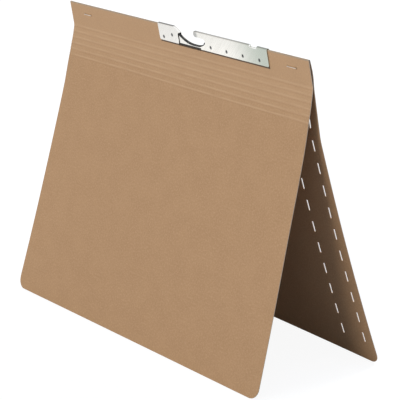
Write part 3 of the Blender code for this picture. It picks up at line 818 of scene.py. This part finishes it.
def saddle_depth(x):
    """The depth of the plate's edge below the spring wire."""
    if x < SADDLE_X:
        return SADDLE_DROP - SADDLE_FALL * ((SADDLE_X - x) / (SADDLE_X - PEAK_X)) ** SADDLE_POWER
    return SADDLE_DROP - SADDLE_RISE * ((x - SADDLE_X) / (SADDLE_END_X - SADDLE_X)) ** 2


def finger_room():
    """An outline of the room that shows the spring's leg and the whole of its wire from the front."""
    (left, top), (right, low) = LEG_SLIT
    outline = [(left, top), (left, low), (right, low)]
    for x in spread(right, SADDLE_END_X, TRIM_STEP):
        trim = FINGER_TRIM * (1 - float(smooth(x, SADDLE_END_X - TRIM_FADE, SADDLE_END_X)))
        outline.append((x, -saddle_depth(x) - trim))
    return outline + [(SADDLE_END_X, SLOT_MIDDLE), (right, SLOT_MIDDLE)]


def reshaped(shape, outline, near, far, operation):
    """The shape with or without a block: an outline in the plate's coordinates, between two depths."""
    block = bmesh.new()
    loops = []
    for across in (near, far):
        loops.append([block.verts.new(spine_place(x, across, up)) for x, up in outline])
    skin(block, loops)
    whole = add_piece("whole", finished_mesh("whole", shape))
    tool = add_piece("tool", finished_mesh("tool", block))
    change = whole.modifiers.new("change", "BOOLEAN")
    change.operation = operation
    change.solver = "EXACT"
    change.object = tool
    result = bmesh.new()
    result.from_object(whole, bpy.context.evaluated_depsgraph_get())
    for piece in (whole, tool):
        bpy.data.objects.remove(piece)
    return result


def finished_mesh(name, shape, sharp=40):
    """A mesh of the shape, smooth but for edges sharper than an angle in degrees."""
    bmesh.ops.recalc_face_normals(shape, faces=shape.faces)
    mesh = bpy.data.meshes.new(name)
    shape.to_mesh(mesh)
    shape.free()
    mesh.shade_smooth()
    mesh.set_sharp_from_angle(angle=radians(sharp))
    return mesh


def spine_place(x, across, up):
    """A point along the spine, through its thickness, and above its top fold."""
    return Vector((x, *spine_point(across, -up)))


def under_roof(end, beside, roof):
    """An end of a cut edge, moved down along the edge to the inner face of the plate's fold."""
    share = max(end[1] - roof, 0) / (end[1] - beside[1])
    return end[0] + share * (beside[0] - end[0]), min(end[1], roof)


def add_web(shape, edge, sides):
    """A thin strip between the two leaves, just inside a cut edge, to its left (-1) or its right (1)."""
    loops = []
    for k in range(WEB_STEPS + 1):
        across = PLATE_INNER * (2 * k / WEB_STEPS - 1)
        roof = sqrt(max(PLATE_INNER ** 2 - across ** 2, 0)) - SPINE_OUTER
        line = [under_roof(edge[0], edge[1], roof), *edge[1:-1], under_roof(edge[-1], edge[-2], roof)]
        loop = []
        for inset in (WEB / 2, 1.5 * WEB):
            drops = [inset if up < -SPINE_OUTER else 0 for x, up in edge]
            strip = [(x + side * inset, up - drop) for (x, up), side, drop in zip(line, sides, drops)]
            loop += strip if not loop else strip[::-1]
        loops.append([shape.verts.new(spine_place(x, across, up)) for x, up in loop])
    skin(shape, loops)


def skin(shape, loops, closed=False):
    """Faces between one loop of points and the next, with a face on each end unless the loops close."""
    pairs = list(zip(loops, loops[1:] + loops[:1])) if closed else list(zip(loops, loops[1:]))
    for one, other in pairs:
        for k in range(len(one)):
            n = (k + 1) % len(one)
            shape.faces.new((one[k], one[n], other[n], other[k]))
    if not closed:
        shape.faces.new(loops[0])
        shape.faces.new(loops[-1][::-1])


def add_burr(shape, x, drop, side):
    """The pierced metal of a crimp mark, sunk from the rim of its hole towards its tip."""
    rings = ((1.0, PLATE_OUTER - 0.02 * MM), (0.7, PLATE_INNER + 0.1 * MM),
             (CRIMP_TIP, PLATE_INNER - 0.08 * MM), (CRIMP_TIP, PLATE_INNER - 0.16 * MM),
             (1.0, PLATE_OUTER - 0.2 * MM))
    loops = []
    for share, across in rings:
        loop = []
        for k in range(CRIMP_CORNERS):
            angle = 2 * pi * k / CRIMP_CORNERS
            along = x + share * CRIMP_RADII[0] * cos(angle)
            up = share * CRIMP_RADII[1] * sin(angle) - drop
            loop.append(shape.verts.new(spine_place(along, side * across, up)))
        loops.append(loop)
    skin(shape, loops, closed=True)


def make_plate_details():
    """The closed edges of the slot's ramp and the notch, and the pierced crimp marks."""
    shape = bmesh.new()
    add_web(shape, RAMP, (-1, -1))
    add_web(shape, PLATE_NOTCH, (-1, -1, 1, 1))
    edges = add_piece("plate_edges", finished_mesh("plate_edges", shape), CUT_EDGE)
    shape = bmesh.new()
    for x, drop in CRIMPS:
        for side in (-1, 1):
            add_burr(shape, x, drop, side)
    burrs = add_piece("plate_burrs", finished_mesh("plate_burrs", shape), PIERCED_SHADE)
    for piece in (edges, burrs):
        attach(piece, "spine")


def make_board():
    """The folded sheet, in four pieces that meet on flat panels."""
    fold = [SPINE_OUTER * k / FOLD_STEPS for k in range(-FOLD_STEPS, FOLD_STEPS + 1)]
    strip = spread(SPINE_OUTER, SPINE_DROP - 1.5 * MM, STRIP_STEP)
    creases = [row for crease in FRONT_CREASES for row in near_crease(crease)]

    # The top strip, over the fold, down to the middle of the creased band
    cuts = [RELIEF_DROP, POCKET_DROP, NOTCH_DROP]
    rows = fold + cuts + [-cut for cut in cuts] + [-FRONT_SEAM, TOP_SEAM] + [-row for row in strip]
    rows += [row for row in strip if row < TOP_SEAM]
    rows += [-row for row in creases if row < FRONT_SEAM]
    top = board_piece("board_top", merged(rows), in_clear_room)
    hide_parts("spine_fold")
    fold_zone(SPINE_DROP, -1)
    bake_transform(top)

    # The front, from the middle of the creased band to the lower edge
    rows = [FRONT_SEAM] + [row for row in creases if row > FRONT_SEAM]
    rows += spread(FRONT_BAND_END + 2 * MM, SHEET_DROP, COVER_STEP)
    front = board_piece("board_front", merged([-row for row in rows]), in_clear_room)
    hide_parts("front_band", "front_cover")
    fold_zone(FRONT_BAND_END, -1)
    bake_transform(front)

    # The stiff band of the back
    rows = spread(TOP_SEAM, BACK_SEAM, BAND_STEP) + near_crease(SPINE_DROP)
    band = board_piece("board_back_band", merged(rows), in_slit, 2)
    fold_zone(SPINE_DROP, 1)
    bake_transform(band)

    # The back, with its two rows of slits
    slit_ends = [end for slit in slit_rows() for end in slit]
    rows = spread(BACK_SEAM, SHEET_DROP, COVER_STEP) + near_crease(BACK_BAND_END)
    rows = [row for row in rows if not any(abs(row - end) < 1 * MM for end in slit_ends)]
    rows += slit_ends
    back = board_piece("board_back", merged(rows), in_slit, 2)
    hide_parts("back_band")
    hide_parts("back_cover")
    fold_zone(BACK_BAND_END, 1)
    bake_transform(back)


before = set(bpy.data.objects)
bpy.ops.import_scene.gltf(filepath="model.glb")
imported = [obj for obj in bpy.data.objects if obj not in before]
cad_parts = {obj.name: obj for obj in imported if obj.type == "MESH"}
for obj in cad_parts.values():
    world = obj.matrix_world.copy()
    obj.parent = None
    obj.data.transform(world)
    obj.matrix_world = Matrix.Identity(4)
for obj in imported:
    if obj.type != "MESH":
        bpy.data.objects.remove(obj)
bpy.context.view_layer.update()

KRAFT = kraft_material("kraft_board_sheet", base=(0.47, 0.268, 0.130, 1), pale=(0.57, 0.35, 0.186, 1),
                       dark=(0.385, 0.213, 0.098, 1))
# Cut edge of the board: paler than its faces, and raised further as painted light on edges that face away
# from the lamps
KRAFT_EDGE_PALE_AND_LIT = kraft_material("kraft_board_edge_pale_and_lit", base=(0.68, 0.51, 0.34, 1), pale=(0.80, 0.63, 0.45, 1),
                            dark=(0.58, 0.43, 0.28, 1))
# Slit walls: kraft brightened as painted light, standing in for light from the room behind the back
KRAFT_SLIT_LIT = kraft_material("kraft_board_slit_painted_light", base=(0.90, 0.64, 0.40, 1), pale=(0.95, 0.74, 0.50, 1),
                            dark=(0.80, 0.55, 0.33, 1))
STRIP = kraft_material("strip_board_sheet", base=(0.36, 0.24, 0.15, 1), pale=(0.46, 0.33, 0.22, 1),
                       dark=(0.30, 0.2, 0.12, 1), place_name="Object")
PLATE = plate_material()
CUT_EDGE = steel_material("nickel_steel_cut_edge", bright=(0.97, 0.965, 0.95, 1), dull=(0.92, 0.915, 0.90, 1),
                          roughness=(0.2, 0.3))
# Nearly black nickel on the crimp burrs: painted shade for the hollow of each pierced hole
PIERCED_SHADE = steel_material("nickel_steel_pierced_painted_shade", bright=(0.13, 0.13, 0.125, 1), dull=(0.08, 0.08, 0.075, 1),
                         roughness=(0.4, 0.6), metallic=0.5)
NICKEL = steel_material("nickel_steel_sheet", bright=(0.78, 0.78, 0.765, 1), dull=(0.56, 0.56, 0.55, 1),
                        roughness=(0.22, 0.4))
COPPERED = steel_material("coppered_wire_round", bright=(0.80, 0.72, 0.62, 1), dull=(0.60, 0.52, 0.43, 1),
                          roughness=(0.3, 0.45))
BLACK = steel_material("black_wire_round", bright=(0.012, 0.012, 0.013, 1), dull=(0.006, 0.006, 0.007, 1),
                       roughness=(0.4, 0.6), metallic=0.0)

make_board()
make_plate_details()
stand_in("hanger_plate", "spine", plate_shape(), PLATE)
for node in ("staple_left", "staple_right"):
    stand_in(node, "spine", softened(node, STAPLE_ROUND), COPPERED)
stand_in("fastener_strip", "back_band", softened("fastener_strip", STRIP_ROUND), STRIP)
for node in ("fastener_tongue", "cover_bar"):
    stand_in(node, "back_band", softened(node, STRIP_ROUND), NICKEL)
stand_in("hook_spring", "spring", lacquered("hook_spring", LACQUER), BLACK)

make_world()
make_floor()
make_lamp("key", place=(0.5, -4.9, 0.45), aim=(0, 0, 0.13), size=2.6, energy=153)
make_lamp("fill", place=(-3.0, -3.6, 1.2), aim=(0, 0, 0.13), size=2.0, energy=30)
make_lamp("top", place=(0.2, -0.2, 3.0), aim=(0, 0, 0.1), size=1.8, energy=10)
make_lamp("rear", place=(-0.6, 2.9, 3.1), aim=(0, 0, 0.12), size=2.0, energy=110)
make_camera()
bpy.context.scene.view_settings.view_transform = "Standard"
